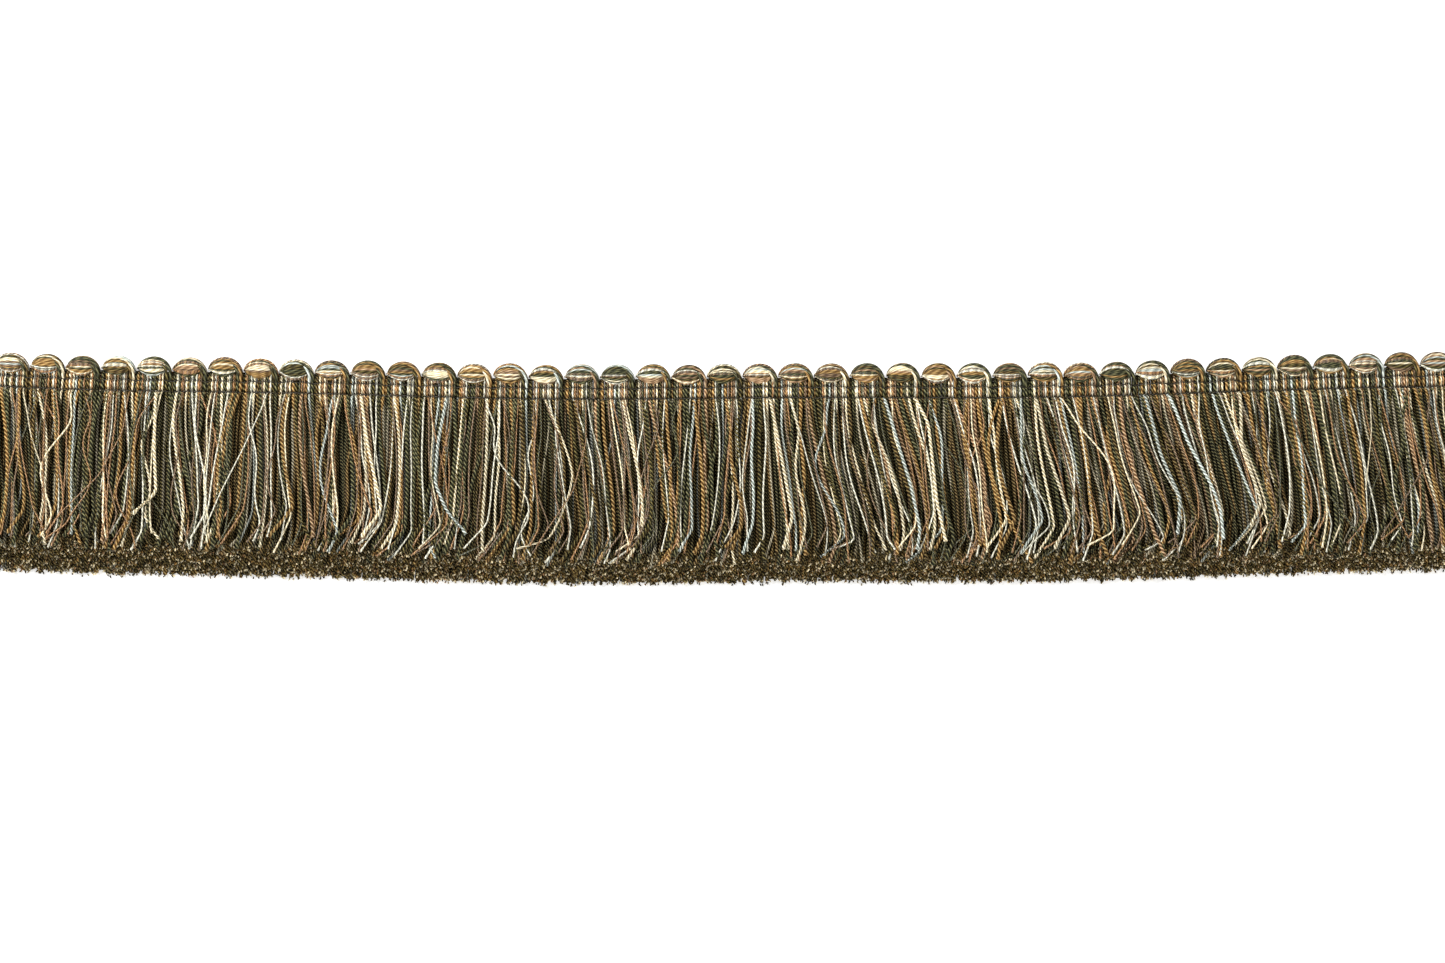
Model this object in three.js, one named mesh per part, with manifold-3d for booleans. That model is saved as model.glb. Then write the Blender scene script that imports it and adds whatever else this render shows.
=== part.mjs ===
// A cut length of brush fringe trim, lying on its back on a flat surface, in millimetres.
// X runs along the trim, +Y points from the cut brush towards the row of loop heads, and +Z is up.
// The origin is the middle of the footprint, on the surface that the trim lies on.
import * as THREE from 'three';
import { mergeVertices } from 'three/addons/utils/BufferGeometryUtils.js';
import Module from 'manifold-3d';

// Driving dimensions. Lengths down the trim are measured from the upper warp line.
const HEAD_COUNT = 43;
const HEAD_PITCH = 8.2;
const TRIM_LENGTH = HEAD_COUNT * HEAD_PITCH;
const BOW = 3.6; // how far the two ends curve up from the middle
const RIPPLE = 0.25; // height of the slow unevenness along the heading
const PIECE_GAP = 0.3; // clear space between neighbouring pieces

// Loop heads: each is the rounded turn of one weft bundle
const HEAD_HALF_WIDTH = 3.85;
const HEAD_HALF_HEIGHT = 3.3;
const HEAD_HALF_DEPTH = 3.05;
const HEAD_CENTRE_Y = 2.35;
const HEAD_CENTRE_Z = 2.75;
const HEAD_YARNS_ROUND = 6; // yarn ridges round the whole head
const HEAD_STEPS_ALONG = 5;
const HEAD_FULLNESS = 0.88; // below 1 keeps the head full towards its two sides
const HEAD_GROOVE = 0.93; // share of the radius left in the groove between two yarns
const HEAD_SKEW = 0.35; // radians that the yarns climb from side to side
const HEAD_SHIFT = 0.1; // unevenness of the heads' places

// Heading band: the woven strip between the heads and the brush
const BAND_TOP = 0.35;
const BAND_BOTTOM = -2.85;
const BAND_DEPTH = 4.9;
const WARP_SPACING = 2.6; // from the upper to the lower warp line
const WARP_BITE = 0.9; // how deep a warp line presses into the band
const WARP_SLOPE = 0.5; // width of the slope beside a warp line
const VALLEY_DIP = 0.45; // how much lower the band's face is between two heads

// Brush: locks of yarn whose roots are fused into a narrow strip under the band
const STRIP_HEIGHT = 1.7;
const STRIP_DEPTH = 4.6;
const ROOT_SINK = 0.6; // how far a lock's root reaches into the strip
const TIP_LOWEST = -46.2; // cut end of the locks that lie on the surface
const CUT_SLOPE = 0.45; // how much the cut end recedes for each millimetre of depth
const TIP_UNEVENNESS = 0.6;
const LOCK_WANDER = 0.04;
const KNEE_AT = 0.82; // share of a lock's length where it bends

// The front and the back layer of locks. Rings are the shares of the length where a lock may bend,
// depths are heights over the surface at the root and at the cut end, crown narrows the front face,
// and uneven is how much the front face's height differs from lock to lock.
const LOCK_LAYERS = [
  {
    perHead: 3,
    rings: [0, 0.4, KNEE_AT, 1],
    rootWidth: 2.0,
    tipWidth: 2.3,
    rootDepths: [2.5, 4.5],
    tipDepths: [4.9, 9.3],
    crown: 0.7,
    uneven: 0.3,
  },
  {
    perHead: 2,
    rings: [0, KNEE_AT, 1],
    rootWidth: 3.1,
    tipWidth: 3.6,
    rootDepths: [0, 2.1],
    tipDepths: [0, 4.4],
    crown: 0.8,
    uneven: 0,
  },
];

// How the brush is combed: at each place along the trim, how far the yarns lean to +X by the knee,
// and how far their cut ends then turn back
const COMBING = [
  { at: -180, lean: -2.0, turn: -0.5 },
  { at: -60, lean: 0.0, turn: -0.7 },
  { at: 40, lean: 2.0, turn: -1.4 },
  { at: 82, lean: 3.9, turn: -2.2 },
  { at: 115, lean: 2.2, turn: -1.2 },
  { at: 180, lean: 2.8, turn: -0.8 },
];

const YARN_COLOUR = 0x7f7257;

const wasm = await Module();
wasm.setup();

// A small repeatable source of unevenness, from 0 to 1
function unevenness(seed) {
  let state = seed;
  return () => {
    state = (state * 1664525 + 1013904223) % 4294967296;
    return state / 4294967296;
  };
}

function spread(random, reach) {
  return (random() * 2 - 1) * reach;
}

// Where the upper warp line lies in Y at a place along the trim
function bowAt(x) {
  const share = (2 * x) / TRIM_LENGTH;
  return BOW * share * share + RIPPLE * Math.sin(3.1 * Math.PI * share + 0.6);
}

// A column of the combing table at a place along the trim, blended smoothly between its rows
function combingAt(x, column) {
  const next = COMBING.findIndex((row) => row.at > x);
  const [low, high] = [COMBING[next - 1], COMBING[next]];
  const share = THREE.MathUtils.smoothstep(x, low.at, high.at);
  return THREE.MathUtils.lerp(low[column], high[column], share);
}

// Moves every vertex of a geometry by a function of its place
function reshape(geometry, place) {
  const position = geometry.getAttribute('position');
  const point = new THREE.Vector3();
  for (let i = 0; i < position.count; i++) {
    point.fromBufferAttribute(position, i);
    place(point);
    position.setXYZ(i, point.x, point.y, point.z);
  }
  return geometry;
}

// A closed three.js geometry as a solid that can be joined or cut
function toSolid(geometry) {
  const bare = geometry.clone();
  bare.deleteAttribute('normal');
  bare.deleteAttribute('uv');
  const merged = mergeVertices(bare, 1e-4);
  return new wasm.Manifold(new wasm.Mesh({
    numProp: 3,
    vertProperties: merged.getAttribute('position').array,
    triVerts: new Uint32Array(merged.index.array),
  }));
}

function toGeometry(solid) {
  const { vertProperties, triVerts } = solid.getMesh();
  const geometry = new THREE.BufferGeometry();
  geometry.setAttribute('position', new THREE.BufferAttribute(vertProperties, 3));
  geometry.setIndex(new THREE.BufferAttribute(triVerts, 1));
  geometry.computeVertexNormals();
  return geometry;
}

function yarnMesh(name, geometry) {
  const material = new THREE.MeshStandardMaterial({ color: YARN_COLOUR, roughness: 0.85, metalness: 0 });
  const mesh = new THREE.Mesh(geometry, material);
  mesh.name = name;
  return mesh;
}

// The space that a head may fill: above the surface, and clear of the heading band
function headSpace(x) {
  const reach = 4 * HEAD_HALF_WIDTH;
  const bandTop = BAND_TOP + Math.max(bowAt(x - HEAD_HALF_WIDTH), bowAt(x + HEAD_HALF_WIDTH));
  const box = new THREE.BoxGeometry(reach, reach, reach);
  return toSolid(box.translate(x, bandTop + PIECE_GAP + reach / 2, reach / 2));
}

// One loop head: a full, rounded turn with its yarns as ridges from side to side
function loopHead(index) {
  const random = unevenness(index + 11);
  const x = (index - (HEAD_COUNT - 1) / 2) * HEAD_PITCH;
  const centre = new THREE.Vector3(
    x + spread(random, HEAD_SHIFT),
    bowAt(x) + HEAD_CENTRE_Y + spread(random, HEAD_SHIFT),
    HEAD_CENTRE_Z,
  );
  const ball = new THREE.SphereGeometry(1, 2 * HEAD_YARNS_ROUND, HEAD_STEPS_ALONG).rotateZ(-Math.PI / 2);
  reshape(ball, (point) => {
    const around = Math.atan2(point.z, point.y);
    const step = Math.round((around / Math.PI) * HEAD_YARNS_ROUND);
    const groove = Math.abs(step) % 2 === 1 ? HEAD_GROOVE : 1;
    const radius = Math.hypot(point.y, point.z) ** HEAD_FULLNESS * groove;
    const climb = around - HEAD_SKEW * point.x;
    point.set(
      centre.x + HEAD_HALF_WIDTH * point.x,
      centre.y + HEAD_HALF_HEIGHT * radius * Math.cos(climb),
      centre.z + HEAD_HALF_DEPTH * radius * Math.sin(climb),
    );
  });
  const solid = toSolid(ball).intersect(headSpace(x));
  return yarnMesh(`loop_head_${String(index + 1).padStart(2, '0')}`, toGeometry(solid));
}

// A strip along the trim with the given section in Y and Z, curved with the bow
function lengthwiseStrip(section, steps) {
  const shape = new THREE.Shape(section.map(([y, z]) => new THREE.Vector2(y, z)));
  const strip = new THREE.ExtrudeGeometry(shape, { depth: TRIM_LENGTH, steps, bevelEnabled: false });
  return reshape(strip, (point) => {
    const x = point.z - TRIM_LENGTH / 2;
    point.set(x, point.x + bowAt(x), point.y);
  });
}

// The heading band, pressed in at the two warp lines and a little lower between the heads
function headingBand() {
  const shoulder = BAND_DEPTH - WARP_BITE / 2;
  const bitten = BAND_DEPTH - WARP_BITE;
  const section = [
    [BAND_TOP, 0],
    [BAND_TOP, shoulder],
    [WARP_SLOPE / 2, shoulder],
    [0, bitten],
    [-WARP_SLOPE, shoulder],
    [-WARP_SPACING / 2, BAND_DEPTH],
    [WARP_SLOPE - WARP_SPACING, shoulder],
    [-WARP_SPACING, bitten],
    [BAND_BOTTOM, shoulder],
    [BAND_BOTTOM, 0],
  ];
  const band = lengthwiseStrip(section, 2 * HEAD_COUNT);
  reshape(band, (point) => {
    const halfPitches = Math.round((2 * (point.x + TRIM_LENGTH / 2)) / HEAD_PITCH);
    if (point.z > 0 && halfPitches % 2 === 0) point.z -= VALLEY_DIP;
  });
  return yarnMesh('heading_band', band);
}

// One lock of the brush, four-sided, bent along its length. Its back layer lies level on the surface.
function lock(layer, x, random) {
  const rootY = BAND_BOTTOM - PIECE_GAP - STRIP_HEIGHT + ROOT_SINK;
  const tipShift = spread(random, TIP_UNEVENNESS);
  const crownShift = spread(random, layer.uneven);
  const lean = combingAt(x, 'lean') + spread(random, LOCK_WANDER);
  const turn = combingAt(x, 'turn');
  const steps = layer.rings.length - 1;
  const box = new THREE.BoxGeometry(1, 1, 1, 1, steps, 1);
  return reshape(box, (point) => {
    const along = layer.rings[Math.round((0.5 - point.y) * steps)];
    const top = point.z > 0 ? 1 : 0;
    const evenZ = THREE.MathUtils.lerp(layer.rootDepths[top], layer.tipDepths[top], Math.sqrt(along));
    const z = evenZ + top * crownShift * along;
    const tipY = TIP_LOWEST + tipShift + CUT_SLOPE * z;
    const width = THREE.MathUtils.lerp(layer.rootWidth, layer.tipWidth, Math.min(1, 2 * along));
    const narrowing = top ? layer.crown : 1;
    const bend = lean * THREE.MathUtils.smoothstep(along, 0, 1) + turn * Math.max(0, (along - KNEE_AT) / (1 - KNEE_AT));
    point.set(
      x + point.x * width * narrowing + bend,
      bowAt(x) + THREE.MathUtils.lerp(rootY, tipY, along),
      z,
    );
  });
}

// The brush: every lock of both layers, fused at its root into the narrow strip
function brushSkirt() {
  const top = BAND_BOTTOM - PIECE_GAP;
  const bottom = top - STRIP_HEIGHT;
  const section = [[top, 0], [top, STRIP_DEPTH], [bottom, STRIP_DEPTH], [bottom, 0]];
  let solid = toSolid(lengthwiseStrip(section, Math.round(HEAD_COUNT / 2)));
  const random = unevenness(7);
  for (const layer of LOCK_LAYERS) {
    const count = HEAD_COUNT * layer.perHead;
    const pitch = TRIM_LENGTH / count;
    for (let i = 0; i < count; i++) {
      const x = (i - (count - 1) / 2) * pitch;
      solid = solid.add(toSolid(lock(layer, x, random)));
    }
  }
  return yarnMesh('brush_skirt', toGeometry(solid));
}

const trim = new THREE.Group();
for (let index = 0; index < HEAD_COUNT; index++) trim.add(loopHead(index));
trim.add(headingBand());
trim.add(brushSkirt());

// Puts the origin at the middle of the footprint, on the surface
const bounds = new THREE.Box3().setFromObject(trim);
const middle = bounds.getCenter(new THREE.Vector3());
trim.position.set(-middle.x, -middle.y, -bounds.min.z);

export default trim;
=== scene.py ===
"""A cut length of brush fringe trim lying on its back, laid out as a Blender add-on.

X runs along the trim, +Y points from the cut brush to the row of loop heads, and +Z is up.
All lengths are in metres. Strands are worked out in the trim's own straight layout, where y = 0 is the
upper warp line, and Skein.make bends them along the trim's slow bow and puts them in the frame.
"""

import math
from dataclasses import dataclass

import bpy
import numpy as np
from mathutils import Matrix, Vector


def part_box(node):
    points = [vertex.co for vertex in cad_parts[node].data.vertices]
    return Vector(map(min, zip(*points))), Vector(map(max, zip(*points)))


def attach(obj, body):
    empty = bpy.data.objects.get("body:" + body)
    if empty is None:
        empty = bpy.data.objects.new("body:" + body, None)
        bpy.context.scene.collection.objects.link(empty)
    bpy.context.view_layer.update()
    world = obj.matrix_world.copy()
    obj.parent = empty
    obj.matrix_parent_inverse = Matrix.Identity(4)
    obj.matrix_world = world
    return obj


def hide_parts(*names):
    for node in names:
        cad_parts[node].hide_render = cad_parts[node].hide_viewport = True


bl_info = {
    "name": "Brush Fringe Trim",
    "version": (1, 0, 0),
    "blender": (4, 5, 0),
    "location": "3D View > Sidebar > Trim",
    "description": "Winds, weaves and cuts a length of brush fringe trim",
    "category": "Add Mesh",
}

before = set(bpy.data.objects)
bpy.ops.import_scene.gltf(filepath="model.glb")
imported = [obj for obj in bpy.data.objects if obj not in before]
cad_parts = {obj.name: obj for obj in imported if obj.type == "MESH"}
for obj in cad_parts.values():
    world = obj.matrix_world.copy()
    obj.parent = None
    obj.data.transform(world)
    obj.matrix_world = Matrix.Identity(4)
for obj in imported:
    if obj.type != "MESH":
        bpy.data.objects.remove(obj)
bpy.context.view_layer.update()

MM = 0.001
UP = np.array([0.0, 0.0, 1.0])
SEED = 20

# The frame's own sizes
HEADS = sorted(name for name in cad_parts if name.startswith("loop_head_"))
BAND_LOW, BAND_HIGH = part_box("heading_band")
TRIM_LENGTH = BAND_HIGH.x - BAND_LOW.x
PITCH = TRIM_LENGTH / len(HEADS)
BAND_FACE = BAND_HIGH.z
BRUSH_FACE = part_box("brush_skirt")[1].z

# The slow curve of the whole trim
BOW = 3.6 * MM
RIPPLE = 0.25 * MM

# Heading band
WARP_SPACING = 2.6 * MM
BELOW_LOWER_WARP = 0.25 * MM
WARP_BITE = 0.95 * MM
WARP_BITE_REACH = 0.42 * MM
VALLEY_DIP = 0.85 * MM
BUNDLE_WIDTH = 7.7 * MM
YARNS_IN_BUNDLE = 11
UPPER_SHARE = 0.58  # how many of them stay on the brush's face

# Brush
LOCK_WIDTH = 2.4 * MM
BRUSH_TOP_FACE = 4.9 * MM
TIP_LOWEST = -45.95 * MM
BRUSH_LENGTH = -TIP_LOWEST - WARP_SPACING
# How much shorter a yarn is for each unit of its height over the table, at three places along the trim
CUT_SLOPE_AT = np.array([-180, -90, -40]) * MM
CUT_SLOPE = np.array([0.64, 0.58, 0.45])

# How the brush is combed: at each place along the trim, how far the yarns lean to +X by their cut ends
LEAN_AT = MM * np.array([
    -180, -160, -134, -124, -115, -97, -84, -72, -57, -40, -28, -8, 2,
    12, 25, 36, 50, 62, 75, 88, 112, 125, 140, 160, 180,
])
LEAN = MM * np.array([
    0.5, 2.5, 0, 4, 0, 2.5, 3, 0.5, -1, 2, 5, 0, -2,
    4, 6, 7, 3, 3.5, 4, 7, 7.5, 2, 3, 4.5, 4,
])
# and how far they turn back between their knee and the cut
TURN_AT = np.array([-180, -130, -80, -40, 0, 60, 82, 112, 125, 180]) * MM
TURN = np.array([-0.8, -1.0, -1.8, -2.2, -1.4, -1.8, -3.6, -3.6, -1.8, -1.0]) * MM
FILLING_LEAN = 0.4  # how much of that the filling does

# A few yarns and threads that lie loose on the face: the kind, the dye, and places, each as millimetres
# along the trim and a share of the brush's length
LOOSE_STRANDS = (
    ("yarn", "mist", ((-63.6, 0), (-65.4, 0.35), (-65.7, 0.6), (-62.8, 0.78), (-58.1, 0.92))),
    ("thread", "copper", ((-136.4, 0), (-137.2, 0.31), (-141.7, 0.6), (-150.5, 0.88))),
    ("thread", "silver", ((-104.9, 0), (-105.8, 0.13), (-109.4, 0.4), (-114.2, 0.71), (-117.5, 0.97))),
    ("yarn", "cream", ((-83.6, 0), (-81.2, 0.38), (-78.4, 0.69), (-77.5, 0.79), (-82, 0.97))),
    ("yarn", "cream", ((-130.4, 0), (-129.7, 0.42), (-128.6, 0.72), (-133.9, 0.86))),
    ("yarn", "cream", ((10, 0), (12.4, 0.37), (15.1, 0.8), (12.9, 1))),
    ("thread", "copper", ((-32, 0), (-31.7, 0.31), (-34.4, 0.62), (-42.5, 0.97))),
    ("yarn", "mist", ((36.1, 0), (39, 0.31), (41.9, 0.6), (43.8, 0.88), (43, 1))),
    ("yarn", "cream", ((43, 0), (46.2, 0.2), (47.7, 0.71), (49.5, 0.95))),
    ("yarn", "mist", ((101.1, 0), (105.1, 0.35), (110, 0.64), (111.6, 0.79), (111.9, 0.97))),
    ("yarn", "cream", ((117.8, 0), (117.2, 0.37), (120.9, 0.75), (118, 0.9))),
    ("thread", "cream", ((147.4, 0), (147, 0.31), (144.6, 0.69))),
    ("yarn", "cream", ((70.9, 0), (72.9, 0.37), (77.7, 0.81), (73.7, 1))),
    ("yarn", "mist", ((95.8, 0), (98.7, 0.42), (102.7, 0.71), (101.6, 0.93))),
)

# Shares of the dyes among the face's yarns, the heads' arcs, the fine threads, the filling and its fibres
YARN_DYES = {
    "sage": 0.35, "olive": 0.11, "tan": 0.21, "cream": 0.14, "mist": 0.07, "rose": 0.05, "bark": 0.07,
}
HEAD_DYES = {
    "sage": 0.27, "olive": 0.12, "tan": 0.23, "cream": 0.09, "mist": 0.06, "rose": 0.08, "bark": 0.05,
    "mauve": 0.1,
}
THREAD_DYES = {"mauve": 0.22, "copper": 0.24, "silver": 0.28, "cream": 0.1, "sage": 0.16}
FILLING_DYES = {"sage": 0.28, "olive": 0.28, "tan": 0.12, "bark": 0.26, "rose": 0.04, "cream": 0.02}
FIBRE_DYES = {"earth": 0.24, "olive": 0.28, "tan": 0.1, "cream": 0.32, "rose": 0.06}
PALE = {"cream", "mist", "silver"}
SAME_DYE_IN_HEAD = 0.15  # how often an arc has the dye of its neighbour
DYE_VARIES = (0.82, 1.18)  # how dark and how light one strand's dye may be
SHUFFLES = 6  # of a bundle's dyes, to find one that keeps like dyes apart

# The strands on one bundle's face. Thicknesses are shares of the ones that are set, and depths are
# millimetres under the brush's face.
YARN_THICKNESS = (0.8, 1.1)
PALE_THICKNESS = 0.78
YARN_OFF_PLACE = 0.08 * MM
UPPER_DEPTHS = (-0.3, 0.5)
DEEPER_DEPTHS = (0.7, 1.5)
THREAD_THICKNESS = (0.85, 1.2)
THREAD_DEPTHS = (-0.4, 0.5)
THREAD_SPACING = 1.3
THREAD_GROUPS = ((-0.26, 3), (0.06, 1), (0.28, 2))  # how far across the bundle, and about how many
GROUP_OFF_PLACE = 0.05


def bow_at(x):
    """How far the upper warp line lies above its lowest level at a place along the trim."""
    share = 2 * x / TRIM_LENGTH
    return BOW * share**2 + RIPPLE * np.sin(3.1 * math.pi * share + 0.6)


STATIONS = np.linspace(BAND_LOW.x, BAND_HIGH.x, 2 * len(HEADS) + 1)
UPPER_WARP_Y = BAND_LOW.y + WARP_SPACING + BELOW_LOWER_WARP - bow_at(STATIONS).min()


def length_property(name, description, default):
    return bpy.props.FloatProperty(
        name=name, description=description, default=default, unit="LENGTH", precision=5
    )


def colour_property(name, description, default):
    return bpy.props.FloatVectorProperty(
        name=name, description=description, default=default, subtype="COLOR"
    )


class FringeSizes(bpy.types.PropertyGroup):
    """Sizes of the strands."""

    yarn: length_property("Yarn", "Thickness of a plied yarn", 0.72 * MM)
    thread: length_property("Thread", "Thickness of a fine shiny thread", 0.38 * MM)
    ply_turn: length_property("Ply turn", "Length of one full turn of a yarn's plies", 2.3 * MM)
    thread_turn: length_property("Thread turn", "Length of one full turn of a thread's plies", 1.7 * MM)
    warp: length_property("Warp", "Thickness of a warp thread", 0.36 * MM)
    ring_step: length_property("Ring step", "Distance between two rings of a plied yarn's mesh", 0.5 * MM)


class FringeDyes(bpy.types.PropertyGroup):
    """Colours of the yarns and threads."""

    sage: colour_property("Sage", "Grey green yarn", (0.086, 0.09, 0.044))
    olive: colour_property("Olive", "Dark olive yarn", (0.085, 0.066, 0.018))
    tan: colour_property("Tan", "Golden brown yarn", (0.42, 0.26, 0.092))
    cream: colour_property("Cream", "Cream yarn", (0.95, 0.85, 0.62))
    mist: colour_property("Mist", "Pale blue grey yarn", (0.66, 0.71, 0.65))
    rose: colour_property("Rose", "Rose beige yarn", (0.5, 0.33, 0.19))
    bark: colour_property("Bark", "Brown yarn", (0.15, 0.095, 0.03))
    earth: colour_property("Earth", "Brown of the dusty cut ends", (0.2, 0.13, 0.038))
    mauve: colour_property("Mauve", "Mauve brown thread", (0.27, 0.175, 0.105))
    copper: colour_property("Copper", "Copper thread", (0.44, 0.25, 0.11))
    silver: colour_property("Silver", "Silver grey thread", (0.8, 0.78, 0.66))
    # painted shade: the warp thread is real, and its near-black colour is painted shade in the warp line's
    # groove
    warp: colour_property("Warp", "Dark warp thread", (0.05, 0.04, 0.025))


class FringeStage(bpy.types.PropertyGroup):
    """The camera, the floor and the light."""

    elevation: bpy.props.FloatProperty(
        name="Elevation", description="Angle of the camera over the floor", default=math.radians(70),
        subtype="ANGLE",
    )
    frame_width: bpy.props.FloatProperty(
        name="Frame width", description="Width of the view at the trim", default=330.3 * MM, unit="LENGTH"
    )
    lens: bpy.props.FloatProperty(
        name="Lens", description="Focal length of the camera in millimetres", default=100.0
    )
    floor: colour_property("Floor", "Colour of the floor", (0.9, 0.9, 0.89))
    floor_glow: bpy.props.FloatProperty(
        name="Floor glow", description="How much light the floor gives of its own, as a lit table does",
        default=0.5,
    )
    sky: bpy.props.FloatProperty(name="Sky", description="Strength of the light all round", default=0.33)
    key: bpy.props.FloatProperty(
        name="Key", description="Power of the main light", default=19.0, unit="POWER"
    )


@dataclass
class Strand:
    """One yarn or thread of a bundle: where it crosses the heading, and how it hangs in the brush."""

    is_yarn: bool
    offset: float
    thickness: float
    depth: float
    dye: str


def smoothstep(low, high, x):
    """A smooth climb from 0 at the low value to 1 at the high one."""
    share = np.clip((x - low) / (high - low), 0, 1)
    return share * share * (3 - 2 * share)


def combed(x, places, moves):
    """A combing table's move at a place along the trim, blended smoothly between its rows."""
    row = int(np.clip(np.searchsorted(places, x) - 1, 0, len(places) - 2))
    return moves[row] + (moves[row + 1] - moves[row]) * smoothstep(places[row], places[row + 1], x)


def head_x(index):
    """The middle of a bundle along the trim."""
    return (index - (len(HEADS) - 1) / 2) * PITCH


def pick(random, shares):
    """One name from a table of shares."""
    names = list(shares)
    weights = np.array([shares[name] for name in names])
    return names[random.choice(len(names), p=weights / weights.sum())]


def dyed(name, random):
    """The colour of a dye on one strand, a little lighter or darker than the next."""
    return np.array(getattr(bpy.context.scene.fringe_dyes, name)) * random.uniform(*DYE_VARIES)


def next_dye(random, last):
    """The dye of a head's next arc: now and then its neighbour's, or else one from the table."""
    return last if last in HEAD_DYES and random.random() < SAME_DYE_IN_HEAD else pick(random, HEAD_DYES)


def like_neighbours(dyes):
    """How many strands have the dye of the next one, or are pale as it is."""
    return sum(one == other or {one, other} <= PALE for one, other in zip(dyes, dyes[1:]))


def dealt(random, shares, count):
    """A bundle's dyes, close to the table's shares, in the best of a few shuffles."""
    names = list(shares)
    bounds = np.cumsum([shares[name] for name in names])
    places = (np.arange(count) + random.random()) / count * bounds[-1]
    numbers = np.searchsorted(bounds, places, side="right").clip(0, len(names) - 1)
    deal = [names[number] for number in numbers]
    shuffles = [list(random.permutation(deal)) for _ in range(SHUFFLES)]
    return min(shuffles, key=like_neighbours)


def bundle(index):
    """The strands on the face of one bundle: its yarns from left to right, then its fine threads."""
    random = np.random.default_rng([SEED, index])
    sizes = bpy.context.scene.fringe_sizes
    strands = []
    places = (np.arange(YARNS_IN_BUNDLE) + 0.5) / YARNS_IN_BUNDLE - 0.5
    for place, dye in zip(places, dealt(random, YARN_DYES, YARNS_IN_BUNDLE)):
        thickness = sizes.yarn * random.uniform(*YARN_THICKNESS) * (PALE_THICKNESS if dye in PALE else 1)
        offset = place * BUNDLE_WIDTH + random.normal(0, YARN_OFF_PLACE)
        depth = random.uniform(*(UPPER_DEPTHS if random.random() < UPPER_SHARE else DEEPER_DEPTHS))
        strands.append(Strand(True, offset, thickness, depth * MM, dye))
    for place, count in THREAD_GROUPS:
        count += random.integers(-1, 2)
        middle = (place + random.normal(0, GROUP_OFF_PLACE)) * BUNDLE_WIDTH
        for number, dye in enumerate(dealt(random, THREAD_DYES, max(count, 1))):
            thickness = sizes.thread * random.uniform(*THREAD_THICKNESS)
            offset = middle + (number - (count - 1) / 2) * thickness * THREAD_SPACING
            depth = random.uniform(*THREAD_DEPTHS)
            strands.append(Strand(False, offset, thickness, depth * MM, dye))
    return strands


def legs_of(strands):
    """The yarns of a bundle that come down from its head as legs: the last ones at the right."""
    return [strand for strand in strands if strand.is_yarn][-LEGS:]


# The section of a two-ply yarn: corners of the two plies, and the two valleys between them
PLY_ANGLES = np.radians([-36, 36, 90, 144, 216, 270])
PLY_RADII = np.array([1, 1, 0.5, 1, 1, 0.5])
YARN_SPREAD = 0.6  # how far that section's corners are from its middle, for each unit of thickness
PLIES = 2
PHASES = (0, 6)  # radians: how far a strand's twist may be turned at its start

# Cut ends
CUT_FLARE = 0.22  # how much thicker a strand is at its cut end
FLARE_REACH = 1.6 * MM
CUT_REACH = 1.5 * MM  # how far up from its cut end a strand is darker, for its dull fibres and by painted shade
# how much darker a cut end is, partly for its dull fibres and partly by painted shade
DULL_AND_SHADED_END = 0.1

# The layout of a strand's faces along and round it, and their cell in the bake's map
UNITS_ALONG = 100  # for each metre
CELL_SHAPE = 14  # how many times as wide as high a cell is
SIDES_AT, SIDES_SIZE = np.array([0.03, 0.08]), np.array([0.94, 0.84])
ENDS_AT, END_SIZE = (0.014, 0.986), (0.012, 0.4)


def round_section(sides):
    """The angles and radii of a plain section with a number of sides."""
    return np.arange(sides) * 2 * math.pi / sides, np.ones(sides)


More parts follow.
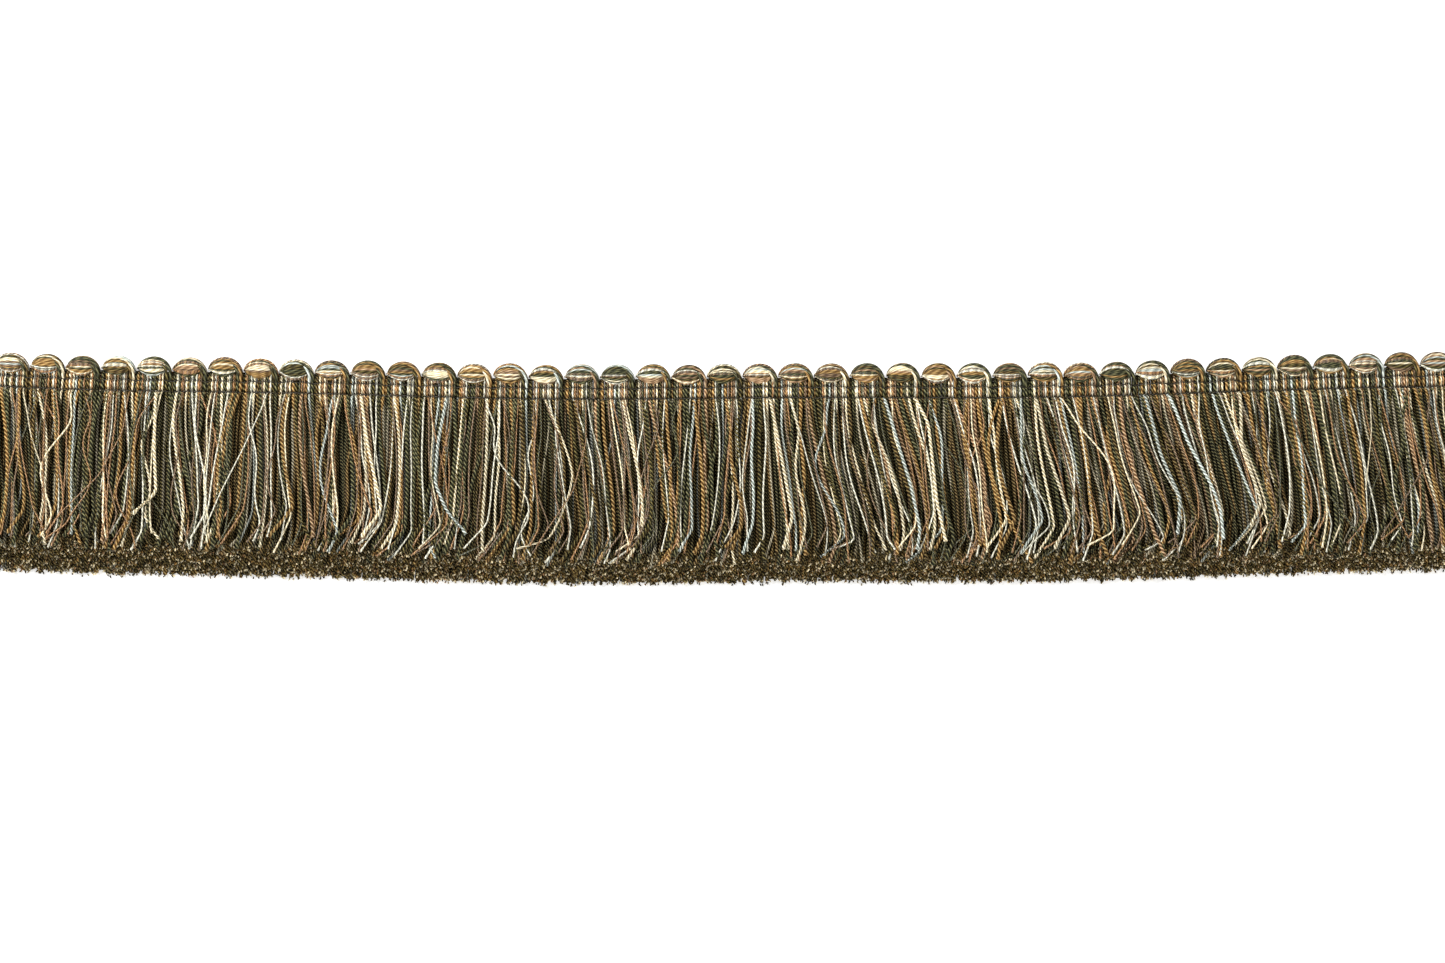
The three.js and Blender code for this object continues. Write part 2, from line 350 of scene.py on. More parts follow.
class Skein:
    """Gathers strands and makes them one mesh. A strand is a closed tube swept along its path."""

    def __init__(self, name):
        self.name = name
        self.places, self.dyes, self.cuts = [], [], []
        self.faces, self.runs = [], []
        self.along_strand, self.bakes = [], []
        self.count = 0

    def add(self, path, thickness, dye, turn, sides=None, up=UP, flat=1.0, phase=0.0, cut=None):
        """Sweeps one strand. With no number of sides it has the real section of twisted plies.
        A strand with a cut end flares a little there, and cut is how much darker its end is, for its dull
        fibres and by painted shade."""
        path = np.asarray(path, float)
        steps = np.linalg.norm(np.diff(path, axis=0), axis=1)
        run = np.concatenate([[0], np.cumsum(steps)])
        tangent = np.gradient(path, axis=0)
        tangent /= np.linalg.norm(tangent, axis=1, keepdims=True)
        side = np.cross(np.broadcast_to(up, path.shape), tangent)
        side /= np.linalg.norm(side, axis=1, keepdims=True)
        lift = np.cross(tangent, side)
        rings = len(path)
        radius = np.broadcast_to(thickness, rings).astype(float)
        if sides is None:
            angles, radii = PLY_ANGLES, PLY_RADII
            radius = radius * YARN_SPREAD
            spin = phase - 2 * math.pi * run / turn
            helix = np.zeros(rings)
        else:
            angles, radii = round_section(sides)
            radius = radius / 2
            spin = np.zeros(rings)
            helix = phase / (2 * math.pi) + run / turn
        if cut is not None:
            radius = radius * (1 + CUT_FLARE * smoothstep(run[-1] - FLARE_REACH, run[-1], run))
        sides = len(angles)
        around = angles[None, :] + spin[:, None]
        across = (radius[:, None] * radii * np.cos(around))[:, :, None]
        raised = (radius[:, None] * radii * np.sin(around) * np.reshape(flat, (-1, 1)))[:, :, None]
        self.places.append((path[:, None] + across * side[:, None] + raised * lift[:, None]).reshape(-1, 3))
        colours = np.ones((rings, 4))
        colours[:, :3] = dye
        self.dyes.append(np.repeat(colours, sides, axis=0))
        ends = smoothstep(run[-1] - CUT_REACH, run[-1], run) * (cut or 0)
        self.cuts.append(np.repeat(ends, sides))
        ring = np.arange(rings - 1)[:, None] * sides
        here = np.arange(sides)[None, :]
        after = (here + 1) % sides
        quads = np.stack([ring + here, ring + after, ring + sides + after, ring + sides + here], -1)
        caps = [np.arange(sides)[::-1], (rings - 1) * sides + np.arange(sides)]
        self.faces.append((quads.reshape(-1, 4) + self.count, [cap + self.count for cap in caps]))
        turns = np.append(angles, angles[0] + 2 * math.pi) / (2 * math.pi)
        self.runs.append((run, helix * PLIES, turns * PLIES))
        self.count += rings * sides

    def uv_corners(self):
        """For each face corner, in order: its place along and round its strand, and in the bake's map."""
        columns = max(1, round(math.sqrt(len(self.runs) / CELL_SHAPE)))
        rows = math.ceil(len(self.runs) / columns)
        cell = np.array([1 / columns, 1 / rows])
        for number, (run, helix, turns) in enumerate(self.runs):
            corner = np.array([number % columns, number // columns]) * cell
            rings, sides = len(run), len(turns) - 1
            low, high = slice(0, rings - 1), slice(1, rings)
            along = np.stack([run[low], run[low], run[high], run[high]], -1)[:, None].repeat(sides, 1)
            around = np.stack([
                helix[low, None] + turns[:-1], helix[low, None] + turns[1:],
                helix[high, None] + turns[1:], helix[high, None] + turns[:-1],
            ], -1)
            self.along_strand.append(np.stack([along * UNITS_ALONG, around], -1).reshape(-1, 2))
            across = (turns - turns[0]) / (turns[-1] - turns[0])
            flat = np.stack([across[:-1], across[1:], across[1:], across[:-1]], -1)
            flat = flat[None].repeat(rings - 1, 0)
            shares = np.stack([along / run[-1], flat], -1).reshape(-1, 2)
            self.bakes.append(corner + (shares * SIDES_SIZE + SIDES_AT) * cell)
            corners = np.arange(sides) * 2 * math.pi / sides
            circle = np.stack([np.cos(corners), np.sin(corners)], -1)
            for ring, middle, order in ((0, ENDS_AT[0], -1), (rings - 1, ENDS_AT[1], 1)):
                tip = np.stack([np.full(sides, run[ring] * UNITS_ALONG), helix[ring] + turns[:-1]], -1)
                self.along_strand.append(tip[::order])
                spot = np.array([middle, 0.5]) + circle[::order] * END_SIZE
                self.bakes.append(corner + spot * cell)

    def make(self, material):
        """The finished object, in the frame."""
        places = np.concatenate(self.places)
        places[:, 1] += bow_at(places[:, 0]) + UPPER_WARP_Y
        corners, sizes = [], []
        for quads, caps in self.faces:
            corners += [quads.ravel(), *caps]
            sizes += [np.full(len(quads), 4), *([len(cap)] for cap in caps)]
        corners, sizes = np.concatenate(corners), np.concatenate(sizes)
        mesh = bpy.data.meshes.new(self.name)
        mesh.vertices.add(len(places))
        mesh.vertices.foreach_set("co", places.ravel())
        mesh.loops.add(len(corners))
        mesh.loops.foreach_set("vertex_index", corners.astype(np.int32))
        mesh.polygons.add(len(sizes))
        mesh.polygons.foreach_set("loop_start", (np.cumsum(sizes) - sizes).astype(np.int32))
        mesh.update(calc_edges=True)
        mesh.polygons.foreach_set("use_smooth", np.ones(len(sizes), bool))
        dye = mesh.attributes.new("dye", "FLOAT_COLOR", "POINT")
        dye.data.foreach_set("color", np.concatenate(self.dyes).ravel())
        cut = mesh.attributes.new("cut", "FLOAT", "POINT")
        cut.data.foreach_set("value", np.concatenate(self.cuts))
        self.uv_corners()
        for name, corner_uvs in (("strand", self.along_strand), ("OFBake", self.bakes)):
            layer = mesh.uv_layers.new(name=name)
            layer.uv.foreach_set("vector", np.concatenate(corner_uvs).ravel())
        mesh.validate()
        mesh.materials.append(material)
        piece = bpy.data.objects.new(self.name, mesh)
        bpy.context.scene.collection.objects.link(piece)
        return piece


def finish_piece(piece, *nodes):
    """Puts a piece on the part's one body, in place of its CAD nodes."""
    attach(piece, "root")
    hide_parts(*nodes)


# Materials


def add_node(tree, kind, **settings):
    node = tree.nodes.new(kind)
    for key, value in settings.items():
        setattr(node, key, value)
    return node


def feed(tree, value, socket):
    """Links another node's output to a socket, or sets the socket to a value."""
    if isinstance(value, bpy.types.NodeSocket):
        tree.links.new(value, socket)
    else:
        socket.default_value = value


def math_node(tree, operation, *values):
    """A Math node whose inputs are numbers or other nodes' outputs."""
    node = add_node(tree, "ShaderNodeMath", operation=operation)
    for socket, value in zip(node.inputs, values):
        feed(tree, value, socket)
    return node.outputs[0]


def vector_node(tree, operation, first, second):
    """A Vector Math node that joins two colours, or scales a colour by a number."""
    node = add_node(tree, "ShaderNodeVectorMath", operation=operation)
    feed(tree, first, node.inputs[0])
    feed(tree, second, node.inputs["Scale" if operation == "SCALE" else 1])
    return node.outputs[0]


def noise_node(tree, scale, detail, vector):
    node = add_node(tree, "ShaderNodeTexNoise")
    node.inputs["Scale"].default_value = scale
    node.inputs["Detail"].default_value = detail
    tree.links.new(vector, node.inputs["Vector"])
    return node.outputs["Fac"]


# The look of the fibre
CREST_HIGHLIGHT = np.array([0.115, 0.094, 0.04])  # painted highlight: the pale light painted along the crests of dark plies
CREST_WIDTH = 4.0  # a power of the ply's roundness: the higher it is, the narrower is the painted highlight on a crest
PLY_ROUNDNESS = 1.2
FIBRES_ALONG, FIBRES_ROUND = 9.0, 3.0  # how fine the streaks are
STREAK_RANGE, STREAK_LEAST = 1.1, 0.85
PATCH_SCALE, PATCH_RANGE, PATCH_LEAST = 260.0, 0.4, 0.8
FIBRE_RELIEF = 0.35  # of the fibres, for each unit of the plies' own


def strand_material(name, roughness, specular, valley_shade, marl, relief, crest_highlight_share=1.0, valley_depth=0.9):
    """Twisted fibre in the strand's own dye, with streaks, and cut ends darker for their dull fibres and by
    painted shade. Between two plies it has painted shade as dark as valley_shade, which by valley_depth
    also makes its colour deeper. One ply is lighter by marl and the other is darker, crest_highlight_share
    is how much of the painted highlight CREST_HIGHLIGHT a crest has, and relief is how high the plies stand
    out."""
    material = bpy.data.materials.new(name)
    material.use_nodes = True
    tree = material.node_tree
    shader = tree.nodes["Principled BSDF"]
    shader.inputs["Roughness"].default_value = roughness
    shader.inputs["Specular IOR Level"].default_value = specular
    dye = add_node(tree, "ShaderNodeAttribute", attribute_name="dye").outputs["Color"]
    cut = add_node(tree, "ShaderNodeAttribute", attribute_name="cut").outputs["Fac"]
    strand = add_node(tree, "ShaderNodeUVMap", uv_map="strand")
    split = add_node(tree, "ShaderNodeSeparateXYZ")
    tree.links.new(strand.outputs["UV"], split.inputs[0])
    wave = math_node(tree, "COSINE", math_node(tree, "MULTIPLY", split.outputs["Y"], math.pi))
    ply = math_node(tree, "POWER", math_node(tree, "MULTIPLY", wave, wave), PLY_ROUNDNESS)
    stretch = add_node(tree, "ShaderNodeCombineXYZ")
    tree.links.new(math_node(tree, "MULTIPLY", split.outputs["X"], FIBRES_ALONG), stretch.inputs["X"])
    tree.links.new(math_node(tree, "MULTIPLY", split.outputs["Y"], FIBRES_ROUND), stretch.inputs["Y"])
    fibres = noise_node(tree, 1.0, 2.0, stretch.outputs[0])
    where = add_node(tree, "ShaderNodeTexCoord")
    mottle = noise_node(tree, PATCH_SCALE, 1.0, where.outputs["Object"])

    # painted shade between the plies, down to valley_shade
    shade = math_node(tree, "MULTIPLY_ADD", ply, 1 - valley_shade, valley_shade)
    streak = math_node(tree, "MULTIPLY_ADD", fibres, STREAK_RANGE, STREAK_LEAST)
    patch = math_node(tree, "MULTIPLY_ADD", mottle, PATCH_RANGE, PATCH_LEAST)
    light = math_node(tree, "MULTIPLY", math_node(tree, "MULTIPLY", shade, streak), patch)
    # the cut ends darker, partly for their dull fibres and partly by painted shade
    light = math_node(tree, "MULTIPLY", light, math_node(tree, "SUBTRACT", 1.0, cut))
    pale = math_node(tree, "GREATER_THAN", wave, 0.0)
    light = math_node(tree, "MULTIPLY", light, math_node(tree, "MULTIPLY_ADD", pale, 2 * marl, 1 - marl))

    # painted shade in the valleys that also deepens the colour, most on dark dyes
    depth = math_node(tree, "MULTIPLY", math_node(tree, "SUBTRACT", 1.0, ply), valley_depth)
    lost = vector_node(tree, "SUBTRACT", (1, 1, 1), dye)
    kept = vector_node(tree, "SUBTRACT", (1, 1, 1), vector_node(tree, "SCALE", lost, depth))
    tone = vector_node(tree, "MULTIPLY", dye, kept)
    # painted highlight: pale light along the crests of dark plies
    highlight_colour = vector_node(tree, "MULTIPLY", lost, CREST_HIGHLIGHT * crest_highlight_share)
    crest = vector_node(tree, "SCALE", highlight_colour, math_node(tree, "POWER", ply, CREST_WIDTH))
    colour = vector_node(tree, "SCALE", vector_node(tree, "ADD", tone, crest), light)
    tree.links.new(colour, shader.inputs["Base Color"])

    bump = add_node(tree, "ShaderNodeBump")
    bump.inputs["Strength"].default_value = 1.0
    bump.inputs["Distance"].default_value = relief
    tree.links.new(math_node(tree, "MULTIPLY_ADD", fibres, FIBRE_RELIEF, ply), bump.inputs["Height"])
    tree.links.new(bump.outputs[0], shader.inputs["Normal"])
    return material


def yarn_material():
    found = bpy.data.materials.get("spun_yarn")
    return found or strand_material(
        "spun_yarn", roughness=0.65, specular=0.14, valley_shade=0.3, marl=0.1, relief=0.16 * MM
    )


def thread_material():
    found = bpy.data.materials.get("shiny_thread")
    return found or strand_material(
        "shiny_thread", roughness=0.34, specular=0.6, valley_shade=0.5, marl=0.3, relief=0.1 * MM
    )


# Paths


def band_face(x):
    """Height of the heading's face: it domes over each bundle and dips between two."""
    share = np.mod(x / PITCH + len(HEADS) / 2, 1) * 2 - 1
    return BAND_FACE - VALLEY_DIP * np.abs(share) ** 4


def bite_at(y):
    """How far the two warp lines press a strand in, from 0 to 1."""
    upper = np.exp(-((y / WARP_BITE_REACH) ** 2))
    lower = np.exp(-(((y + WARP_SPACING) / WARP_BITE_REACH) ** 2))
    return np.maximum(upper, lower)


HEADING_TOP = 2.9 * MM
TUCK_START = 0.5 * MM
TUCK_DEPTH = 1.7 * MM
HEADING_OVERLAP = 0.12 * MM
THREAD_LIFT = 0.3 * MM
SQUEEZE_AT_WARP = 0.04  # how far a warp line draws a bundle's strands together
FLATTER_AT_WARP = 0.3


def heading_path(x, thickness, top, step, lift=0.0):
    """A strand of the heading's face and its flatness, from under its head to past the lower warp line."""
    bottom = -WARP_SPACING - HEADING_OVERLAP
    y = np.linspace(top, bottom, max(5, round((top - bottom) / step)))
    bite = bite_at(y)
    tuck = smoothstep(TUCK_START, HEADING_TOP, y) * TUCK_DEPTH
    z = band_face(x) + lift - thickness / 2 - WARP_BITE * bite - tuck
    middle = np.round(x / PITCH) * PITCH
    squeeze = 1 - SQUEEZE_AT_WARP * bite
    return np.stack([middle + (x - middle) * squeeze, y, z], -1), 1 - FLATTER_AT_WARP * bite


def brush_face(t):
    """Height of the brush's face at a share of its length."""
    return BRUSH_TOP_FACE + (BRUSH_FACE - BRUSH_TOP_FACE) * t**0.6


def tip_at(x, height):
    """Where the sloping cut ends a yarn that lies at a height over the table."""
    return TIP_LOWEST + np.interp(x, CUT_SLOPE_AT, CUT_SLOPE) * height


def soft_bend(t, place, reach=0.01):
    """Nothing before a place and an even climb after it, with a short soft bend between."""
    return reach * np.logaddexp(0, (t - place) / reach)


# How the strands of one lock lean, bow and turn alike, and where their knees are
LOCK_LEAN, LOCK_BOW, LOCK_TURN = 1.2 * MM, 0.8 * MM, MM
LOCK_KNEE = (0.78, 0.9)

# How one strand strays on its own
WILD_SHARE, WILD_STRAY, CALM_STRAY = 0.2, 2.2, 0.7
OWN_BOW, OWN_WAVE, OWN_BEND, OWN_TURN = 0.6, 0.2, 1.8, 0.8  # for each unit of its stray
BENT_SHARE, BENT_AT = 0.25, (0.25, 0.7)
KNEE_VARIES, KNEE_RANGE = 0.03, (0.7, 0.95)
COMB_GRIP = 1.6  # how fast the comb's whole lean is reached as a strand clings more
TURN_SHARE, FILLING_TURN = (0.1, 2), 0.5  # of the comb's turn
MOST_TURN = 3 * MM
TIP_RISE = 0.25 * MM


def lock_moves(x):
    """What the few strands that cling together at a place do alike: their lean, bow, turn and knee."""
    random = np.random.default_rng([SEED, round(x / LOCK_WIDTH) + 1000, 20])
    lean, bow, turn = (random.normal(0, size) for size in (LOCK_LEAN, LOCK_BOW, LOCK_TURN))
    return lean, bow, turn, random.uniform(*LOCK_KNEE)


def brush_path(random, x, height, thickness, stray, shorter, cling=0.0):
    """A strand of the brush. Its height is given at each ring, stray is how far it leans on its own, and
    cling is how much of its lock's moves it makes."""
    t = np.linspace(0, 1, len(height))
    tip = tip_at(x, height[-1]) + shorter
    y = -WARP_SPACING + (tip + WARP_SPACING) * t
    lean, bow, turn, knee = lock_moves(x)
    stray = stray * (WILD_STRAY if random.random() < WILD_SHARE else CALM_STRAY)
    lean = lean * cling + random.normal(0, 1) * stray
    lean += combed(x, LEAN_AT, LEAN) * (FILLING_LEAN + (1 - FILLING_LEAN) * min(1, cling * COMB_GRIP))
    across = x + lean * smoothstep(-0.1, 1, t)
    across += (bow * cling + random.normal(0, OWN_BOW) * stray) * np.sin(math.pi * t)
    wave = random.normal(0, OWN_WAVE) * stray
    across += wave * np.sin(math.pi * random.uniform(2, 4) * t) * smoothstep(0, 0.3, t)
    if random.random() < BENT_SHARE:
        across += random.normal(0, OWN_BEND) * stray * soft_bend(t, random.uniform(*BENT_AT))
    knee = np.clip(knee + random.normal(0, KNEE_VARIES), *KNEE_RANGE)
    own_share = random.uniform(*TURN_SHARE)
    turn = turn * cling + combed(x, TURN_AT, TURN) * (own_share if cling else FILLING_TURN)
    turn += np.clip(random.normal(0, OWN_TURN) * stray, -MOST_TURN, MOST_TURN)
    bend = soft_bend(t, knee) / (1 - knee)
    across += turn * bend
    z = np.maximum(height + random.normal(0, TIP_RISE) * bend, thickness / 2)
    return np.stack([across, y, z], -1)


def face_height(rings, depth, thickness, start):
    """Height of a strand that starts at its own height and then hangs at a depth under the brush's face."""
    t = np.linspace(0, 1, rings)
    sunk = depth * smoothstep(0, 0.15, t)
    return start + (brush_face(t) - sunk - thickness / 2 - start) * smoothstep(0, 0.03, t)


LOOSE_BENDS = np.arange(-3, 4) * 0.012  # the stretch that softens a bend, in shares of the brush's length
LOOSE_LIFT = 0.55 * MM


def loose_path(places, thickness, step):
    """A loose strand on the brush's face, through its places with short soft bends."""
    along, shares = np.array(places).T
    length = BRUSH_LENGTH * shares[-1]
    t = np.linspace(0, shares[-1], round(length / step))
    across = np.mean([np.interp(t + each, shares, along * MM) for each in LOOSE_BENDS], axis=0)
    start = band_face(across[0]) - WARP_BITE - thickness / 2
    lift = LOOSE_LIFT * smoothstep(0, 0.15, t)
    height = start + (brush_face(t) + lift + thickness / 2 - start) * smoothstep(0, 0.03, t)
    tip = tip_at(across[0], BRUSH_FACE)
    return np.stack([across, -WARP_SPACING + (tip + WARP_SPACING) * t, height], -1)


# Operators, one for each group of like pieces

# A head is a fan of arcs. It starts with the one beside the heading and goes on over the head.
HEAD_ARCS = 20
HEAD_ARCS_SEEN = 14  # the others are on its underside
HEAD_ARC_RINGS = 17
HIDDEN_ARC_RINGS = 8
HEAD_SPACING = math.radians(10)
SMILE_ANGLE = math.radians(142)  # of the first arc, from the head's top edge
ARC_THICKNESS = 0.78  # of an arc, for each unit of a yarn's thickness
ARC_THINNEST = 0.4  # of that, at its ends
ARC_SPAN = (0.03, 0.98)  # of half a turn
ARC_PLY_TURN = 1.7
ARC_POINT = 0.8  # how much narrower the first arcs are than half an ellipse
POINTED = (math.radians(40), math.radians(110))  # the angles over which that grows
DOMED = (math.radians(60), math.radians(110))  # and over which the head becomes more than round
ARC_SHOULDER = 0.8
HEAD_HALF_Y = 3.2 * MM
HEAD_HALF_Z = 3.35 * MM
HEAD_PAST_TOP = (0.66, 0.9)  # millimetres
POLE_HEIGHT = 2.45 * MM
HEAD_SHADE = 0.96
POLE_SHADE = 0.85  # painted shade: how much darker an arc is where it is thinnest, beside a pole

# The legs, and where the other arcs end at the right: inside the legs just past the first one, and outside
# them at a share of the head's half width and of the way down to the junction
FIRST_LEG = 8
LEGS = 2
LEG_RINGS = 5
LEG_STARTS = 0.62  # the share of its arc
LEG_END = -0.1 * MM
LEG_BITE = WARP_BITE * 0.9
JUNCTION = 1.2 * MM  # how far over the upper warp line the legs come out of the head
INNER_FOOT = 0.35
OUTER_FOOT = (0.98, 0.6)

# Fine threads, side by side on one arc
HEAD_THREADS = (-1, 0, 1)
HEAD_THREAD_SPACING = HEAD_SPACING * 0.55
HEAD_THREAD_LIFT = 0.22 * MM


class FRINGE_OT_loop_heads(bpy.types.Operator):
    """Wind the rounded loop heads along the top edge"""

    bl_idname = "fringe.loop_heads"
    bl_label = "Loop Heads"

    def execute(self, context):
        yarns, threads = Skein("loop_head_yarns"), Skein("loop_head_threads")
        for index, node in enumerate(HEADS):
            wind_head(yarns, threads, index, node)
        wound = strand_material(
            "wound_yarn", roughness=0.6, specular=0.2, valley_shade=0.5, marl=0.06, relief=0.1 * MM,
            crest_highlight_share=0.7, valley_depth=0.65,
        )
        finish_piece(yarns.make(wound), *HEADS)
        finish_piece(threads.make(thread_material()), *HEADS)
        return {"FINISHED"}


def wind_head(skein, threads, index, node):
    """The arcs of one head. Two come down as legs at the right, and on up to two others lie fine threads."""
    sizes = bpy.context.scene.fringe_sizes
    random = np.random.default_rng([SEED, index, 1])
    low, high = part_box(node)
    yarn = sizes.yarn
    centre_x = (low.x + high.x) / 2
    halves = np.array([(high.x - low.x) / 2, HEAD_HALF_Y - yarn / 2, HEAD_HALF_Z - yarn / 2])
    top_y = high.y - UPPER_WARP_Y - bow_at(centre_x) + random.uniform(*HEAD_PAST_TOP) * MM
    centre = np.array([centre_x, top_y - HEAD_HALF_Y, POLE_HEIGHT])
    legs = legs_of(bundle(index))
    dye = ""
    threads_on = random.choice(HEAD_ARCS_SEEN - 2, 2, replace=False)
    for arc in range(HEAD_ARCS):
        angle = SMILE_ANGLE - arc * HEAD_SPACING
        dye = next_dye(random, dye)
        seen = arc < HEAD_ARCS_SEEN
        leg = arc - FIRST_LEG
        is_leg = 0 <= leg < LEGS
        right = np.array([halves[0] * OUTER_FOOT[0], (JUNCTION - centre[1]) * OUTER_FOOT[1]])
        if leg < 0:
            right[:] = head_x(index) + legs[0].offset - centre_x + INNER_FOOT * yarn, 0
        elif is_leg:
            dye = legs[leg].dye
            right[:] = head_x(index) + legs[leg].offset - centre_x, JUNCTION - centre[1]
        rings = HEAD_ARC_RINGS if seen else HIDDEN_ARC_RINGS
        path, up, bulk = head_arc(centre, halves, angle, right, rings)
        if is_leg:
            path, up, bulk = with_leg(path, up, bulk, yarn)
        path[:, 2] = np.maximum(path[:, 2], yarn / 2)
        # painted shade: darker towards the thin ends beside the poles
        fullness = np.minimum(bulk / ARC_THICKNESS, 1)
        colour = dyed(dye, random) * (HEAD_SHADE - POLE_SHADE * (1 - fullness))[:, None]
        skein.add(
            path, yarn * bulk, colour, sizes.ply_turn * ARC_PLY_TURN, sides=5 if seen else 4, up=up,
            phase=random.uniform(*PHASES),
        )
        if arc in threads_on and not is_leg:
            for place in HEAD_THREADS:
                beside = angle + place * HEAD_THREAD_SPACING
                path, up, _ = head_arc(centre, halves + HEAD_THREAD_LIFT, beside, right, HEAD_ARC_RINGS)
                colour = dyed(pick(random, THREAD_DYES), random)
                threads.add(path, sizes.thread, colour, sizes.thread_turn, sides=4, up=up)


def head_arc(centre, halves, angle, right, rings):
    """One turn of yarn over a head, its up direction and its thickness. In plan it is about half an ellipse,
    from its left pole to its place at the right."""
    half_x, half_y, half_z = halves
    s = np.linspace(*ARC_SPAN, rings) * math.pi
    x = (right[0] - half_x) / 2 - (right[0] + half_x) / 2 * np.cos(s)
    foot = np.where(s < math.pi / 2, 0, right[1])
    point = 1 + ARC_POINT * smoothstep(*POINTED, angle)
    y = foot + (half_y * math.cos(angle) - foot) * np.sin(s) ** point
    rise = math.sin(angle)
    rise += (math.sqrt(abs(rise)) - rise) * smoothstep(*DOMED, angle)
    z = half_z * rise * np.sin(s) ** ARC_SHOULDER
    over = np.stack([x, y, z], -1)
    up = over * (0.4, 1, 1) + (0, 0, 0.2 * MM)
    bulk = ARC_THICKNESS * (ARC_THINNEST + (1 - ARC_THINNEST) * np.sin(s))
    return centre + over, up / np.linalg.norm(up, axis=1, keepdims=True), bulk


def with_leg(path, up, bulk, yarn):
    """Brings an arc's right end onto the heading's face and carries it down to the upper warp line."""
    share = smoothstep(LEG_STARTS, 1, np.linspace(0, 1, len(path)))
    x, y, _ = path[-1]
    path[:, 2] += (band_face(x) - yarn / 2 - path[-1, 2]) * share
    down = np.linspace(y, LEG_END, LEG_RINGS + 1)[1:]
    height = band_face(x) - yarn / 2 - LEG_BITE * bite_at(down)
    fall = np.stack([np.full(LEG_RINGS, x), down, height], -1)
    up = up * (1 - share)[:, None] + UP * share[:, None]
    bulk = bulk + (1 - bulk) * share
    return (
        np.concatenate([path, fall]),
        np.concatenate([up, np.tile(UP, (LEG_RINGS, 1))]),
        np.append(bulk, np.ones(LEG_RINGS)),
    )


# Painted light on the heading's strands, painted shade under a warp line and painted shadow in under a head
HEADING_SHADE = 1.3
BITE_SHADE = 0.8
UNDER_HEAD_SHADE = 0.8
UNDER_HEAD = (0.5 * MM, 1.5 * MM)

# The strands in the valleys beside a bundle, in darker dyes and painted shade, and the heading's back
LEG_TOP = 0.05 * MM
VALLEY_GAP = 0.02 * MM
VALLEY_LIFT = -0.1 * MM
VALLEY_SHADE = 0.9
BACK_STRANDS = 9
BACK_STEP = 0.9 * MM
BACK_THICKNESS = 1.2

# Warp threads
WARP_STEP = 0.8 * MM
WARP_OFF_LINE = 0.1 * MM
WARP_ON_FACE, WARP_ON_BACK = 0.7, 0.8  # how high, for each unit of their thickness


class FRINGE_OT_heading(bpy.types.Operator):
    """Lay the heading's strands, and run two warp threads over its face and two under its back"""

    bl_idname = "fringe.heading"
    bl_label = "Heading"

    def execute(self, context):
        yarns, threads, warp = Skein("heading_yarns"), Skein("heading_threads"), Skein("warp_threads")
        for index in range(len(HEADS)):
            random = np.random.default_rng([SEED, index, 2])
            lay_bundle(random, yarns, threads, index)
        finish_piece(yarns.make(yarn_material()), "heading_band")
        finish_piece(threads.make(thread_material()), "heading_band")
        run_warp(random, warp)
        dark = strand_material(
            "warp_thread", roughness=0.5, specular=0.4, valley_shade=0.5, marl=0.1, relief=0.1 * MM,
            crest_highlight_share=0.1,
        )
        finish_piece(warp.make(dark), "heading_band")
        return {"FINISHED"}


def lay_bundle(random, yarns, threads, index):
    """One bundle in the heading: the strands on its face, one in the valley at each side, and its back."""
    sizes = bpy.context.scene.fringe_sizes
    strands = bundle(index)
    legs = legs_of(strands)
    for strand in strands:
        top = LEG_TOP if strand in legs else HEADING_TOP
        x = head_x(index) + strand.offset
        lift = 0.0 if strand.is_yarn else THREAD_LIFT
        path, flat = heading_path(x, strand.thickness, top, sizes.ring_step, lift)
        # painted light over the heading, painted shade under the warp lines and painted shadow in under the
        # head
        shade = HEADING_SHADE - BITE_SHADE * bite_at(path[:, 1])
        shade -= UNDER_HEAD_SHADE * smoothstep(*UNDER_HEAD, path[:, 1])
        colour = dyed(strand.dye, random) * shade[:, None]
        phase = random.uniform(*PHASES)
        if strand.is_yarn:
            yarns.add(path, strand.thickness, colour, sizes.ply_turn, sides=5, flat=flat, phase=phase)
        else:
            threads.add(path, strand.thickness, colour, sizes.thread_turn, sides=4, phase=phase)
    for side in (-0.5, 0.5):
        x = head_x(index) + side * (PITCH - VALLEY_GAP)
        path, _ = heading_path(x, sizes.yarn, HEADING_TOP, sizes.ring_step, VALLEY_LIFT)
        # painted shade in the valley between two bundles
        colour = dyed(pick(random, FILLING_DYES), random) * VALLEY_SHADE
        yarns.add(path, sizes.yarn, colour, sizes.ply_turn, sides=5, phase=random.uniform(*PHASES))
    for place in np.linspace(-0.5, 0.5, BACK_STRANDS):
        x = head_x(index) + place * (PITCH - sizes.yarn)
        path, _ = heading_path(x, sizes.yarn, HEADING_TOP, BACK_STEP)
        path[:, 2] = BAND_FACE - VALLEY_DIP * 0.5 - path[:, 2]
        path[:, 2] = np.maximum(path[:, 2], sizes.yarn / 2)
        colour = dyed(pick(random, YARN_DYES), random)
        thickness = sizes.yarn * BACK_THICKNESS
        yarns.add(path, thickness, colour, sizes.ply_turn, sides=4, phase=random.uniform(*PHASES))


def run_warp(random, warp):
    """Along each of the two warp lines, one thread over the heading's face and one under its back."""
    sizes = bpy.context.scene.fringe_sizes
    x = np.linspace(BAND_LOW.x, BAND_HIGH.x, round(TRIM_LENGTH / WARP_STEP))
    face = band_face(x) - WARP_BITE + sizes.warp * WARP_ON_FACE
    back = np.full(len(x), sizes.warp * WARP_ON_BACK)
    for y in (0, -WARP_SPACING):
        for z in (face, back):
            path = np.stack([x, np.full(len(x), y - WARP_OFF_LINE), z], -1)
            # painted shade: the near-black warp stands for the dark groove of its line
            warp.add(path, sizes.warp, dyed("warp", random), sizes.thread_turn, sides=5)


BRUSH_PARTS = ("left", "middle", "right")

